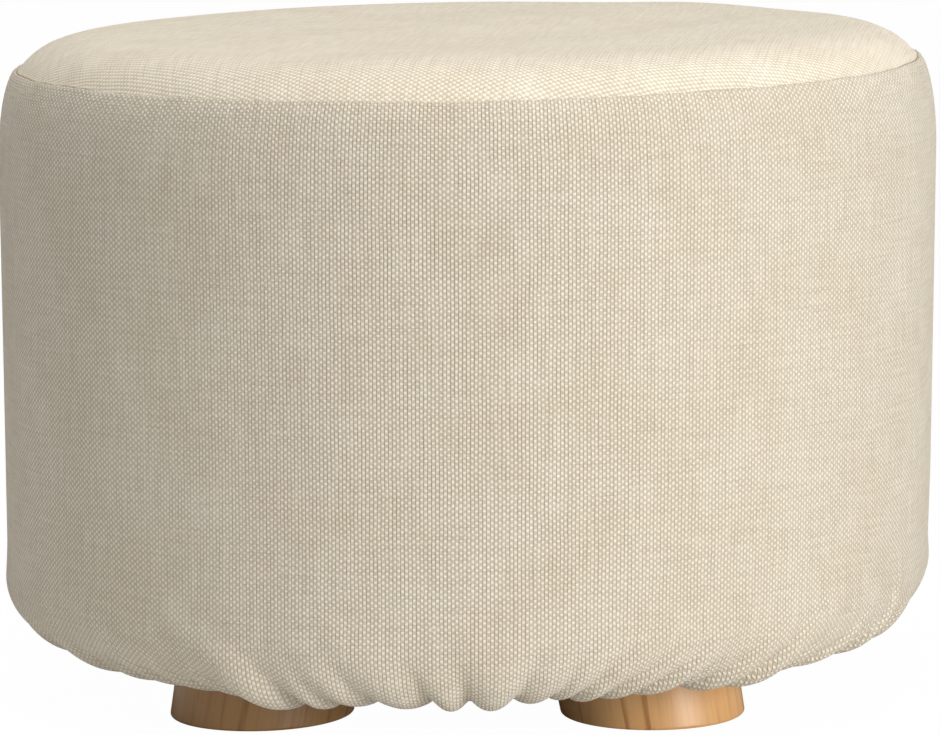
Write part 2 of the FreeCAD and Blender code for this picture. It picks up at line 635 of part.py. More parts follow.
# Hanger bolts up through the base, and the tee nuts that hold them
BOLT_LOW = f"({FOOT_TOP} - Sizes.BoltInFoot)"
BOLT_HIGH = f"({FOOT_TOP} + Sizes.BoltInBoard)"
for corner_name, angle in CORNERS.items():
    bolt = turned("Bolt_" + corner_name, [
        (None, BOLT_LOW), (BOLT_RADIUS, f"{BOLT_LOW} + Sizes.BoltPoint"),
        (BOLT_RADIUS, BOLT_HIGH), (None, BOLT_HIGH)])
    keep("foot_bolt_" + corner_name, bolt, angle, BOLT_CIRCLE)
    NUT_LOW = f"({BASE_TOP} - Sizes.NutBarrelLength)"
    NUT_TOP = f"({BASE_TOP} + Sizes.NutFlangeThickness)"
    nut = turned("Nut_" + corner_name, [
        (BOLT_HOLE, NUT_LOW), ("Sizes.NutBarrel / 2", NUT_LOW), ("Sizes.NutBarrel / 2", BASE_TOP),
        ("Sizes.NutFlange / 2", BASE_TOP), ("Sizes.NutFlange / 2", NUT_TOP), (BOLT_HOLE, NUT_TOP)])
    keep("tee_nut_" + corner_name, nut, angle, BOLT_CIRCLE)


# Small fasteners, each kind one group of separate solids
def screw(head, direction):
    """A countersunk screw on the seat's axis whose head lies at this height."""
    radius, wide = size("ScrewDiameter") / 2, size("ScrewHead") / 2
    tip = size("ScrewLength")
    profile = ((0, 0), (wide, 0), (radius, wide - radius), (radius, tip - size("ScrewPoint")), (0, tip))
    points = [at(x, head + direction * y) for x, y in profile]
    closed = zip(points, points[1:] + points[:1])
    return spun([Part.LineSegment(a, b).toShape() for a, b in closed])


def screws(head, direction):
    """Two screws over or under each post."""
    group = []
    for angle in SIDES.values():
        for side_sign in (-1, 1):
            one = screw(head, direction)
            one.translate(FreeCAD.Vector(number(POST_MIDDLE), side_sign * size("ScrewSpacing") / 2, 0))
            one.rotate(FreeCAD.Vector(0, 0, 0), AXIS, angle)
            group.append(one)
    return Part.makeCompound(group)


def staples():
    """Staples through dust cloth and lining into the bottom board, in a ring."""
    wire, width = size("StapleWire"), size("StapleWidth")
    group = []
    for k, legs in enumerate(staple_legs(0)):
        corner_point = FreeCAD.Vector(number(STAPLE_CIRCLE) - wire / 2, -width / 2, number(FOOT_TOP) - wire)
        crown_bar = Part.makeBox(wire, width, wire, corner_point)
        crown_bar.rotate(FreeCAD.Vector(0, 0, 0), AXIS, 360 * k / size("StapleCount"))
        group.append(crown_bar.fuse(legs).removeSplitter())
    return Part.makeCompound(group)


keep("top_board_screws", feature("TopScrews", screws(number(SEAT_BOARD_TOP), -1)))
keep("bottom_board_screws", feature("BottomScrews", screws(size("BaseHeight"), 1)))
keep("base_staples", feature("Staples", staples()))

# Check every object, then write each piece
doc.recompute()
for thing in doc.Objects:
    if "Invalid" in thing.State or "Error" in thing.State:
        raise RuntimeError(f"{thing.Label} did not build: {thing.State}")
os.makedirs("parts", exist_ok=True)
for name, thing in parts.items():
    if thing.Shape.isNull() or not thing.Shape.isValid():
        raise RuntimeError(f"{name} has no valid shape")
for name, thing in parts.items():
    thing.Shape.exportStep(f"parts/{name}.step")
    print(f"{name}: {len(thing.Shape.Solids)} solid(s), {thing.Shape.Volume:.0f} mm3")
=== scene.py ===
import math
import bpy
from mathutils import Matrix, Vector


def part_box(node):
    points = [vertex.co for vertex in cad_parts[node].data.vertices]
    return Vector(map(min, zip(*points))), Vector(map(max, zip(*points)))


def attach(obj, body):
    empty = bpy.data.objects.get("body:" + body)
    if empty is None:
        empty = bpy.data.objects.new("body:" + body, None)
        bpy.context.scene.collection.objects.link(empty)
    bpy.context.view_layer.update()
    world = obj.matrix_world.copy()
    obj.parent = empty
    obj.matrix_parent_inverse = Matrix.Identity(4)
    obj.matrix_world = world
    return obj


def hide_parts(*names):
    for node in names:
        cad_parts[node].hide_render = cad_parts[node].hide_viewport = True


bl_info = {
    "name": "Upholstered footstool",
    "version": (1, 0, 0),
    "blender": (4, 5, 0),
    "location": "3D View > Sidebar > Footstool",
    "description": "Cloth, wood and metal of a round upholstered footstool, built on its frame",
    "category": "Add Mesh",
}

import bpy
import numpy as np
from mathutils import Matrix, Vector

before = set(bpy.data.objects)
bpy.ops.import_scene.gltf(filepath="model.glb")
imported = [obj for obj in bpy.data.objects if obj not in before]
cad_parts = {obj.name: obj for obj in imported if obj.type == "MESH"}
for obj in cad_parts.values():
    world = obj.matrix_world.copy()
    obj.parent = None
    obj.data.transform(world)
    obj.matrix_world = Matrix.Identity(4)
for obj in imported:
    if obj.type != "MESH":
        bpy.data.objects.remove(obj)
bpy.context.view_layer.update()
MM = 0.001

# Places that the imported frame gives, in metres
COVER_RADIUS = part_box("cover_side_band")[1].x
TOP_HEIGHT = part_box("cover_top_panel")[1].z
BASE_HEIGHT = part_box("bottom_board")[0].z
BOARD_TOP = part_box("top_board")[1].z
# Where each foot stands round the axis, and how far each leans outwards, in degrees
CORNERS = {"front_left": -135, "front_right": -45, "back_right": 45, "back_left": 135}
FOOT_SPLAY = 14
# The share of the set colours that each foot's wood has: pine differs from piece to piece, and the front left
# foot's low share is painted shade, where the stool's shadow falls on it
FOOT_TONES_AND_SHADE = {"front_left": 0.6, "front_right": 0.82, "back_right": 0.76, "back_left": 0.7}
# How far the flat part of the top ends inside the seam, and the height above which the cover leans
SEAM_GAP = 0.5 * MM
LEAN_START = 25 * MM


def linear(code):
    """An sRGB hex colour as linear red, green and blue."""
    parts = np.array([int(code[k:k + 2], 16) for k in (0, 2, 4)]) / 255
    return tuple(np.where(parts <= 0.04045, parts / 12.92, ((parts + 0.055) / 1.055) ** 2.4).tolist())


def length(name, value, about):
    """A size in metres that the sidebar shows as a length."""
    return bpy.props.FloatProperty(name=name, default=value, min=0, precision=5,
                                   subtype="DISTANCE", unit="LENGTH", description=about)


def colour(name, code, about):
    """A colour that the sidebar shows as a swatch."""
    return bpy.props.FloatVectorProperty(name=name, default=linear(code), size=3, min=0, max=1,
                                         subtype="COLOR", description=about)


class CoverSettings(bpy.types.PropertyGroup):
    """Sizes and colours of the loose woven cover."""
    seam_inset: length("Seam inset", 6 * MM, "How far the seam lies inside the widest")
    seam_drop: length("Seam drop", 10 * MM, "How far the seam lies below the highest point")
    puff: length("Puff", 27 * MM, "Height below the seam in which the side swells out")
    side_draw: length("Side draw", 0.8 * MM, "How far the side draws in towards the hem")
    round_in: length("Hem round, in", 22.8 * MM, "How far the lower edge turns in")
    round_down: length("Hem round, down", 19.8 * MM, "Height of the rounded lower edge")
    hem_low: length("Hem height", 15.9 * MM, "Middle surface of the hem above the floor")
    casing_radius: length("Casing radius", 108.3 * MM, "Inner radius of the casing under the seat")
    fold_depth: length("Fold depth", 4.6 * MM, "Depth of a full fold from ridge to notch")
    lean: bpy.props.FloatProperty(name="Lean", default=0.0155,
                                  description="Sideways shift of the cover per height")
    warp_pitch: length("Warp pitch", 1.08 * MM, "Distance between upright threads")
    weft_pitch: length("Weft pitch", 0.825 * MM, "Distance between level threads")
    float_colour: colour("Raised threads", "F0E7D6", "Cream of the threads that lie on top")
    ground_colour: colour("Sunken threads", "C9BDA8", "Taupe of the threads between them")


class WoodSettings(bpy.types.PropertyGroup):
    """Colours and grain of the wooden pieces."""
    foot_light: colour("Foot wood", "EDB778", "Pale early wood of the feet")
    foot_dark: colour("Foot grain", "B5773A", "Orange-brown late wood of the feet")
    ring_width: length("Ring width", 4.6 * MM, "Distance between growth rings")


class StageSettings(bpy.types.PropertyGroup):
    """Camera and light."""
    distance: length("Camera distance", 1.434, "Level distance from the stool's axis")
    height: length("Camera height", 0.3028, "Height above the floor")
    azimuth: bpy.props.FloatProperty(name="Azimuth", default=math.radians(3.9), subtype="ANGLE",
                                     description="Turn round the stool, towards its right")
    pitch: bpy.props.FloatProperty(name="Pitch", default=math.radians(8.31), subtype="ANGLE",
                                   description="Look down from the level")
    roll: bpy.props.FloatProperty(name="Roll", default=math.radians(1.0), subtype="ANGLE",
                                  description="Turn of the picture, left side down")
    yaw: bpy.props.FloatProperty(name="Yaw", default=math.radians(0.07), subtype="ANGLE",
                                 description="Look past the axis, to the right")
    lens: bpy.props.FloatProperty(name="Lens", default=183.8, subtype="DISTANCE_CAMERA",
                                  description="Focal length on a 36 mm wide sensor")


# Materials
SMOOTH = {"interpolation_type": "SMOOTHSTEP"}
COLOURS = {"data_type": "RGBA"}
# Places of the Mix node's sockets for colours: its share, its two inputs and its output
SHARE, LOW, HIGH, MIXED = 0, 6, 7, 2


def join(tree, socket, value):
    """Feed a socket from an output, or set it to a value, which is made opaque where it is a colour."""
    if isinstance(value, bpy.types.NodeSocket):
        tree.links.new(value, socket)
    elif socket.type == "RGBA":
        socket.default_value = (*tuple(value)[:3], 1)
    else:
        socket.default_value = value


def add(tree, kind, inputs=(), **settings):
    """A node of this kind with its settings. Its inputs go by place or by name, and its outputs come back."""
    node = tree.nodes.new("ShaderNode" + kind)
    for name, value in settings.items():
        setattr(node, name, value)
    for place, value in inputs.items() if isinstance(inputs, dict) else enumerate(inputs):
        join(tree, node.inputs[place], value)
    return node.outputs


def blank(name):
    """A new material, its tree and its shader."""
    material = bpy.data.materials.new(name)
    material.use_nodes = True
    tree = material.node_tree
    return material, tree, tree.nodes["Principled BSDF"]


def surface(tree, shader, **values):
    """Values and outputs on the shader's own sockets; _ stands for a space in the name."""
    for name, value in values.items():
        join(tree, shader.inputs[name.replace("_", " ")], value)


def noise(tree, place, size, detail=2.0, rough=0.5):
    """Cloudy noise from 0 to 1 whose blots have these sizes along each axis, in metres."""
    at = add(tree, "Mapping", {"Vector": place, "Scale": [1 / part for part in size]})[0]
    return add(tree, "TexNoise", {"Vector": at, "Scale": 1.0, "Detail": detail, "Roughness": rough})[0]


def linen_weave(name, cover, depth):
    """Linen-look polyester in plain weave: pale raised threads in a checkerboard over taupe ones, with
    painted shade darkening the gaps between the upright threads, matt, with slubs along both threads. The map
    is in metres of cloth, and depth is how much the threads stand out, less where the cloth is worn flat;
    depth also sets how strong the painted gap shade is."""
    material, tree, shader = blank(name)
    place = add(tree, "UVMap", uv_map="cloth")[0]
    # Threads wander by up to a quarter of their pitch, so that the rows aren't ruled
    wander = noise(tree, place, (11.111 * MM, 11.111 * MM, 1))
    drift = add(tree, "MapRange", (wander, 0, 1, -math.pi / 4, math.pi / 4))[0]
    sides = add(tree, "SeparateXYZ", (place,))
    waves, gaps = [], []
    for side, pitch in zip(sides, (cover.warp_pitch, cover.weft_pitch)):
        turn = add(tree, "Math", (side, math.pi / pitch, drift), operation="MULTIPLY_ADD")[0]
        wave = add(tree, "Math", (turn,), operation="COSINE")[0]
        from_gap = add(tree, "Math", (wave,), operation="ABSOLUTE")[0]
        waves.append(wave)
        gaps.append(add(tree, "MapRange", (from_gap, 0, 0.75), **SMOOTH)[0])
    check = add(tree, "Math", waves, operation="MULTIPLY")[0]
    # Slubs: a thread is thicker and paler, or thinner and darker, for a centimetre or two of its run
    thick = 1.25
    along_weft = noise(tree, place, (14.286 * MM, thick * cover.weft_pitch, 1), 1.5)
    along_warp = noise(tree, place, (thick * cover.warp_pitch, 18.182 * MM, 1), 1.5)
    slub = add(tree, "Math", (along_weft, along_warp), operation="ADD")[0]
    level = add(tree, "Math", (slub, 1.1, check), operation="MULTIPLY_ADD")[0]
    raised = add(tree, "MapRange", (level, 0.35, 1.95), **SMOOTH)[0]
    yarns = {SHARE: raised, LOW: cover.ground_colour, HIGH: cover.float_colour}
    cloth = add(tree, "Mix", yarns, **COLOURS)[MIXED]
    # Painted shade: the gaps between the upright threads are darkened towards 8F8470, more strongly with more
    # depth
    painted_gap_shade = add(tree, "MapRange", (gaps[0], 0, 1, 0.34 * depth, 0))[0]
    cloth = add(tree, "Mix", {SHARE: painted_gap_shade, LOW: cloth, HIGH: linear("8F8470")}, **COLOURS)[MIXED]
    # Washed patches of some centimetres are a touch paler
    patches = noise(tree, place, (26.316 * MM, 26.316 * MM, 1), 3)
    patch = add(tree, "MapRange", (patches, 0.25, 0.75), **SMOOTH)[0]
    wash = add(tree, "Mix", {SHARE: patch, LOW: linear("FAF8F4"), HIGH: linear("FFFFFF")}, **COLOURS)[MIXED]
    cloth = add(tree, "Mix", {SHARE: 1.0, LOW: cloth, HIGH: wash}, blend_type="MULTIPLY", **COLOURS)[MIXED]
    fibre = noise(tree, place, (0.19231 * MM, 0.19231 * MM, 1))
    relief = 0.0
    for part, share in ((check, 0.36), (fibre, 0.35), (gaps[0], 0.5), (gaps[1], 0.25), (slub, 0.5)):
        relief = add(tree, "Math", (part, share, relief), operation="MULTIPLY_ADD")[0]
    bump = add(tree, "Bump", {"Strength": 1.0, "Distance": 0.42 * MM * depth, "Height": relief})[0]
    surface(tree, shader, Base_Color=cloth, Roughness=0.92, Sheen_Weight=0.12, Sheen_Roughness=0.6,
            Specular_IOR_Level=0.25, Normal=bump)
    return material


def turned_pine(name, wood, angle, splay, light, dark):
    """Pine turned on a lathe and clear lacquered: pale wood with orange-brown late-wood lines along
    the grain, which follows the axis of the piece."""
    material, tree, shader = blank(name)
    place = add(tree, "TexCoord")["Object"]
    for axis, turn in (((0, 0, 1), -angle), ((0, 1, 0), splay)):
        place = add(tree, "VectorRotate", {"Vector": place, "Axis": axis, "Angle": math.radians(turn)},
                    rotation_type="AXIS_ANGLE")[0]
    sides = add(tree, "SeparateXYZ", (place,))
    # Growth rings run across the piece at a slant and wander by up to 3.5 mm
    slant = add(tree, "Math", (sides[0], 0.35, sides[1]), operation="MULTIPLY_ADD")[0]
    wander = noise(tree, place, (16.667 * MM, 16.667 * MM, 111.11 * MM), 3)
    moved = add(tree, "MapRange", (wander, 0, 1, -3.5 * MM, 3.5 * MM))[0]
    across = add(tree, "Math", (slant, moved), operation="ADD")[0]
    turns = add(tree, "Math", (across, 2 * math.pi / wood.ring_width), operation="MULTIPLY")[0]
    ring = add(tree, "Math", (turns,), operation="SINE")[0]
    late = add(tree, "MapRange", (ring, 0.1, 1.0), **SMOOTH)[0]
    fibres = noise(tree, place, (0.66667 * MM, 0.66667 * MM, 38.462 * MM), 3)
    streaks = noise(tree, place, (3.8462 * MM, 3.8462 * MM, 83.333 * MM), 3)
    streak = add(tree, "MapRange", (streaks, 0.42, 0.7), **SMOOTH)[0]
    fine = add(tree, "MapRange", (fibres, 0.5, 0.75), **SMOOTH)[0]
    lines = add(tree, "Math", (late, streak), operation="MULTIPLY")[0]
    share = add(tree, "Math", (fine, 0.18, lines), operation="MULTIPLY_ADD")[0]
    tint = add(tree, "Mix", {SHARE: share, LOW: light, HIGH: dark}, **COLOURS)[MIXED]
    rough = add(tree, "MapRange", (fibres, 0, 1, 0.34, 0.5))[0]
    height = add(tree, "Math", (late, 0.6, fibres), operation="MULTIPLY_ADD")[0]
    bump = add(tree, "Bump", {"Strength": 0.25, "Distance": 0.08 * MM, "Height": height})[0]
    surface(tree, shader, Base_Color=tint, Roughness=rough, Coat_Weight=0.15, Coat_Roughness=0.25,
            Normal=bump)
    return material


def plywood(layer):
    """Birch plywood: sawn face with long pale figure, and veneers that show as lines round the edge."""
    material, tree, shader = blank("birch_plywood")
    place = add(tree, "TexCoord")["Object"]
    figure = noise(tree, place, (71.429 * MM, 6.25 * MM, 6.25 * MM), 4)
    height = add(tree, "SeparateXYZ", (place,))[2]
    veneer = add(tree, "Math", (height, layer), operation="PINGPONG")[0]
    line = add(tree, "MapRange", (veneer, 0.2 * layer, 0.8 * layer, 0, 0.5), **SMOOTH)[0]
    share = add(tree, "Math", (figure, 0.6, line), operation="MULTIPLY_ADD")[0]
    tint = add(tree, "Mix", {SHARE: share, LOW: linear("D9BC8C"), HIGH: linear("B48E5C")}, **COLOURS)[MIXED]
    bump = add(tree, "Bump", {"Strength": 0.3, "Distance": 0.1 * MM, "Height": figure})[0]
    surface(tree, shader, Base_Color=tint, Roughness=0.7, Normal=bump)
    return material


def speckled(name, low, high, grain, roughness, depth):
    """Pressed fibres, foam or felted cloth: two tones in a fine even speckle of one grain size."""
    material, tree, shader = blank(name)
    grains = noise(tree, add(tree, "TexCoord")["Object"], (grain, grain, grain), 3, 0.65)
    share = add(tree, "MapRange", (grains, 0.3, 0.7), **SMOOTH)[0]
    tint = add(tree, "Mix", {SHARE: share, LOW: linear(low), HIGH: linear(high)}, **COLOURS)[MIXED]
    bump = add(tree, "Bump", {"Strength": 0.5, "Distance": depth, "Height": grains})[0]
    surface(tree, shader, Base_Color=tint, Roughness=roughness, Normal=bump)
    return material


def zinc_plate():
    """Steel wire and bolts, barrel-plated with bright zinc: grey metal with a faint blue-yellow bloom."""
    material, tree, shader = blank("bright_zinc_plate")
    bloom = noise(tree, add(tree, "TexCoord")["Object"], (4.1667 * MM,) * 3, 3)
    tint = add(tree, "Mix", {SHARE: bloom, LOW: linear("B9BCC0"), HIGH: linear("CFCBBE")}, **COLOURS)[MIXED]
    rough = add(tree, "MapRange", (bloom, 0, 1, 0.25, 0.42))[0]
    surface(tree, shader, Base_Color=tint, Metallic=1.0, Roughness=rough)
    return material


# Shapes
def along(points, spots):
    """Points at given distances along a polyline, by straight interpolation."""
    run = runs_of(points)
    return np.stack([np.interp(spots, run, points[:, k]) for k in range(points.shape[1])], axis=1)


def runs_of(points):
    """Distance of each point of a polyline from its start."""
    return np.concatenate([[0], np.cumsum(np.linalg.norm(np.diff(points, axis=0), axis=1))])


def run_of(points):
    """Length of a polyline."""
    return runs_of(points)[-1]


def quarter(centre, reach, start, finish, count=160):
    """Points of an ellipse in radius and height: centre + reach * (cos, sin) from one angle to another."""
    turn = np.radians(np.linspace(start, finish, count))
    return np.stack([centre[0] + reach[0] * np.cos(turn), centre[1] + reach[1] * np.sin(turn)], axis=1)


def normals_of(profile):
    """Unit normals to the left of a profile in radius and height, which is outwards going down."""
    slope = np.gradient(profile, axis=0)
    slope /= np.linalg.norm(slope, axis=1)[:, None]
    return np.stack([-slope[:, 1], slope[:, 0]], axis=1)


def ring_mesh(name, points, uv, pole=False, base=False, loop=False):
    """A mesh from a grid of points whose columns close round the axis: each quad joins two rows and two
    columns. With pole the first row is one point, and with base the last row is one, joined to the next
    row by triangles. With loop the last row is the first again."""
    rows, cols = points.shape[:2]
    index = np.arange(rows * cols).reshape(rows, cols)
    triangles = {}
    if pole:
        index[0] = index[0, -1]
        triangles[0] = [0, 1, 2]
    if base:
        index[-1] = index[-1, 0]
        triangles[rows - 2] = [0, 1, 3]
    if loop:
        index[-1] = index[0]
    used, index = np.unique(index, return_inverse=True)
    index = index.reshape(rows, cols)
    after = np.roll(index, -1, axis=1)
    quads = np.stack([index[:-1], index[1:], after[1:], after[:-1]], axis=-1)
    maps = np.stack([uv[:-1, :-1], uv[1:, :-1], uv[1:, 1:], uv[:-1, 1:]], axis=2)
    faces, corner_maps = [], []
    for row in range(rows - 1):
        corners = triangles.get(row, [0, 1, 2, 3])
        faces += quads[row][:, corners].tolist()
        corner_maps.append(maps[row][:, corners].reshape(-1, 2))
    mesh = bpy.data.meshes.new(name)
    mesh.from_pydata(points.reshape(-1, 3)[used], [], faces)
    layer = mesh.uv_layers.new(name="cloth")
    layer.data.foreach_set("uv", np.concatenate(corner_maps).astype(np.float32).ravel())
    mesh.shade_smooth()
    piece = bpy.data.objects.new(name, mesh)
    bpy.context.scene.collection.objects.link(piece)
    return piece


def dressed(piece, material, node):
    """Give a piece its material, let it ride on the stool, and put it in place of a node."""
    wear(piece, material)
    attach(piece, "root")
    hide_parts(node)


def angles(count):
    """Even angles round the axis, without the last, which is the first again."""
    return np.linspace(0, 2 * np.pi, count, endpoint=False)


def wobble(turn, seed, counts, sizes):
    """A sum of cosines round the axis, with these counts of waves and sizes and random phases."""
    phase = np.random.default_rng(seed).uniform(0, 2 * np.pi, len(counts))
    total = np.zeros_like(turn)
    for count, high, start in zip(counts, sizes, phase):
        total = total + high * np.cos(count * turn + start)
    return total


def leaning(points, cover, stage):
    """Points moved to the camera's right in step with their height above the hem."""
    side = np.array([math.cos(stage.azimuth), math.sin(stage.azimuth), 0])
    rise = np.clip(points[..., 2] - LEAN_START, 0, None)
    return points + (cover.lean * rise)[..., None] * side


# Notches between the folds along the hem's front, in degrees to the right of the camera's middle
FRONT_NOTCHES = (-62, -53, -46, -40, -34.5, -29.5, -22, -17.3, -11.7, -4.4, 0, 5.4, 10.2, 13.1, 16.8, 21.1,
                 25.8, 29.5, 35.5, 41.6, 48, 53, 58, 62.5)


# Where the hem is pulled higher or let down: radians to the right of the camera's middle, width, height
HEM_PULLS = ((1.1, 0.5, 1.5 * MM), (0.4, 0.14, 1.3 * MM), (-0.33, 0.08, -1.4 * MM), (-0.51, 0.06, -1.2 * MM))
# Folds round the whole hem if all were as wide as a usual one
USUAL_FOLDS = 56
# Heights of the folds as shares of a full one, the highest out of the camera's sight, and how far up the side
# they fade out
FOLD_HEIGHTS = (0.55, 1.15)
HIGHEST_BEHIND = 0.82
FOLD_REACHES = (26 * MM, 50 * MM)
# How far the folds sway and fan out as they rise by FAN_RISE above the edge
SWAY = math.radians(1.6)
FAN = math.radians(7)
FAN_RISE = 30 * MM
# Direction of the seam's small step: 58 degrees to the left of the camera's middle
SEAM_STEP = math.radians(-90 + 3.9 - 58)


def fold_notches(stage):
    """Angles of all notches round the hem: those in front, then others of varying width, up to the first
    again."""
    front = np.radians(FRONT_NOTCHES) + stage.azimuth - np.pi / 2
    rest = front[0] + 2 * np.pi - front[-1]
    widths = np.random.default_rng(11).uniform(0.7, 1.45, 40)
    widths *= rest / widths.sum()
    return np.concatenate([front, front[-1] + np.cumsum(widths)])


def side_profile(cover):
    """The cover's side from the groove of the seam down: a small roll at the seam, a quarter ellipse that
    swells out, a nearly straight wall, a quarter ellipse that turns in, and the casing round the elastic.
    Its length down to the lowest line comes with it."""
    seam = COVER_RADIUS - cover.seam_inset
    seam_height = TOP_HEIGHT - cover.seam_drop
    groove = np.array([[seam - 0.3 * MM, seam_height - 6 * MM], [seam, seam_height - 2.6 * MM]])
    roll = quarter((seam + 0.95 * MM, seam_height - 1 * MM), (0.8 * MM, 0.7 * MM), 180, 60, 30)
    swell = quarter((seam, seam_height - cover.puff), (cover.seam_inset, cover.puff), 73, 0)
    turn_top = cover.hem_low + cover.round_down
    edge = COVER_RADIUS - cover.side_draw
    down = np.linspace(0, 1, 60)[1:, None]
    wall = swell[-1] + down * (np.array([edge, turn_top]) - swell[-1])
    turned = quarter((edge - cover.round_in, turn_top), (cover.round_in, cover.round_down), 0, -90)[1:]
    lip = 1.8 * MM
    inner = cover.casing_radius + lip
    level = cover.hem_low + 0.3 * MM
    flat = np.linspace(turned[-1], (inner, level), 30)[1:]
    casing = quarter((inner, level + lip), (lip, lip), -90, -270, 40)[1:]
    back = np.linspace(casing[-1], (inner + 6 * MM, casing[-1][1]), 16)[1:]
    outer = np.concatenate([groove, roll, swell, wall, turned])
    return np.concatenate([outer, flat, casing, back]), run_of(outer)


def fanning(turn, stage):
    """Each angle as seen from the camera's middle, and how strongly the folds there lean away from it."""
    seen = (turn - stage.azimuth + 1.5 * np.pi) % (2 * np.pi) - np.pi
    return seen, 1.6 * np.sin(2 * seen) * (0.5 + 0.5 * np.cos(seen))


def fold_lift(turn, up, cover, stage):
    """How far the cloth stands out at each angle (columns) and distance up from the lowest line (rows).
    Between two notches a fold rises as a power of a half sine, steeper on the side that it leans to. It is
    sharpest at the lower edge, fades out up the side at a height of its own, and shrinks into the casing.
    Seen from the camera the folds fan out upwards and are weaker to the left."""
    notches = fold_notches(stage)
    seen, fan = fanning(turn, stage)
    count = len(notches) - 1
    rng = np.random.default_rng(5)
    high = rng.uniform(*FOLD_HEIGHTS, count)
    behind = len(FRONT_NOTCHES) - 1
    high[behind:] = np.minimum(high[behind:], HIGHEST_BEHIND)
    reach = rng.uniform(*FOLD_REACHES, count)
    lean = fanning((notches[1:] + notches[:-1]) / 2, stage)[1]
    skew = rng.uniform(0.85, 1.18, count) * np.exp(-0.55 * np.clip(lean, -1, 1))
    # Each fold's line sways and fans out above the edge
    sway = wobble(turn, 3, (5, 9, 14, 23), (0.5, 0.6, 0.5, 0.3))
    rise = up[:, None]
    high_up = np.clip((rise - 4 * MM) / FAN_RISE, 0, 1.3)
    shift = (SWAY * sway - FAN * fan)[None, :] * high_up ** 1.15
    place = (turn[None, :] + shift - notches[0]) % (2 * np.pi) + notches[0]
    fold = np.clip(np.searchsorted(notches, place, side="right") - 1, 0, count - 1)
    width = notches[fold + 1] - notches[fold]
    share = np.clip((place - notches[fold]) / width, 0, 1) ** skew[fold]
    bulge = np.sin(np.pi * share) ** (0.5 + 0.7 * np.clip(rise / (34 * MM), 0, 1))
    left = 1 - 0.6 * np.exp(-((seen + 1.05) / 0.42) ** 4)
    tall = high[fold] * np.clip(width / (2 * np.pi / USUAL_FOLDS), 0.55, 1.2) * left[None, :]
    fade = np.clip((reach[fold] - rise) / (reach[fold] - 6 * MM), 0, 1)
    fade = fade * fade * (3 - 2 * fade)
    # Folds shrink into the casing, and stand out most a little above the edge
    tuck = np.clip(1 + (rise + 4 * MM) / (14 * MM), 0.2, 1)
    tuck = tuck + 0.32 * np.exp(-((rise - 12 * MM) / (8 * MM)) ** 2)
    drawn = np.clip(1 - rise / (44 * MM), 0, 1) ** 2
    pulled = sum(pull * np.exp(-((seen - spot) / wide) ** 2) for spot, wide, pull in HEM_PULLS)
    pulled = pulled[None, :] * np.clip(1.2 - rise / (50 * MM), 0, 1)
    return cover.fold_depth * tuck * (tall * bulge * fade - 0.5 * drawn) - pulled * np.clip(tuck, 0, 1)


def softened(values, passes):
    """Values smoothed round the axis by repeated thirds of each neighbour."""
    for _ in range(passes):
        values = (np.roll(values, 1, axis=-1) + 2 * values + np.roll(values, -1, axis=-1)) / 4
    return values


def side_grid(cover, stage, cols):
    """Grid of the side band: the profile carried round the axis, moved out along its normal by the folds,
    by slow waves of the wall and by the pucker of the seam."""
    profile, low = side_profile(cover)
    # Distances down the cloth, and the rows of the grid up to each: finest at the seam and the hem
    stops = (0, 9 * MM, 34 * MM, low - 62 * MM, low - 34 * MM, run_of(profile))
    counts = (13, 10, 12, 16, 60)
    bands = [np.linspace(*ends, count + 1)[1:] for *ends, count in zip(stops, stops[1:], counts)]
    fine = np.concatenate([[0], *bands])
    line = along(profile, fine)
    outward = normals_of(line)
    up = low - fine
    turn = angles(cols)
    lift = softened(fold_lift(turn, up, cover, stage), 1)
    slow = wobble(turn, 8, (3, 5, 8, 13, 21), (0.25, 0.2, 0.2, 0.16, 0.12)) * MM
    belly = np.sin(np.pi * np.clip(fine / low, 0, 1)) ** 2
    lift = lift + belly[:, None] * slow[None, :]
    seam_near = np.exp(-((fine - 7 * MM) / (5 * MM)) ** 2)
    pucker = wobble(turn, 21, (120, 171, 236, 263), (0.05, 0.04, 0.03, 0.03)) * MM
    lift = lift + seam_near[:, None] * pucker[None, :]
    radius = line[:, 0][:, None] + outward[:, 0][:, None] * lift
    height = line[:, 1][:, None] + outward[:, 1][:, None] * lift
    height = height + seam_wave(turn)[None, :] * np.exp(-fine / (12 * MM))[:, None]
    points = np.stack([radius * np.cos(turn), radius * np.sin(turn), height], axis=-1)
    threads = round(2 * np.pi * COVER_RADIUS / cover.warp_pitch / 2) * 2
    across = np.linspace(0, threads * cover.warp_pitch, cols + 1)
    uv = np.stack(np.broadcast_arrays(across[None, :], -fine[:, None]), axis=-1)
    return leaning(points, cover, stage), uv


def seam_wave(turn):
    """Slow rise and fall of the sewn line round the seat, with one small step at the front left."""
    near = (turn - SEAM_STEP + np.pi) % (2 * np.pi) - np.pi
    step = 0.35 * MM * np.exp(-(near / np.radians(3)) ** 2)
    return wobble(turn, 31, (2, 7, 17, 37, 61), (0.25, 0.15, 0.12, 0.1, 0.08)) * MM + step


def crown(radius, cover):
    """Height of the top panel: it falls from the middle as the 18th power of the share of the radius."""
    share = np.clip(radius / (COVER_RADIUS - cover.seam_inset - SEAM_GAP), 0, 1)
    return TOP_HEIGHT - cover.seam_drop + 0.1 * MM + (cover.seam_drop - 0.2 * MM) * (1 - share ** 18)


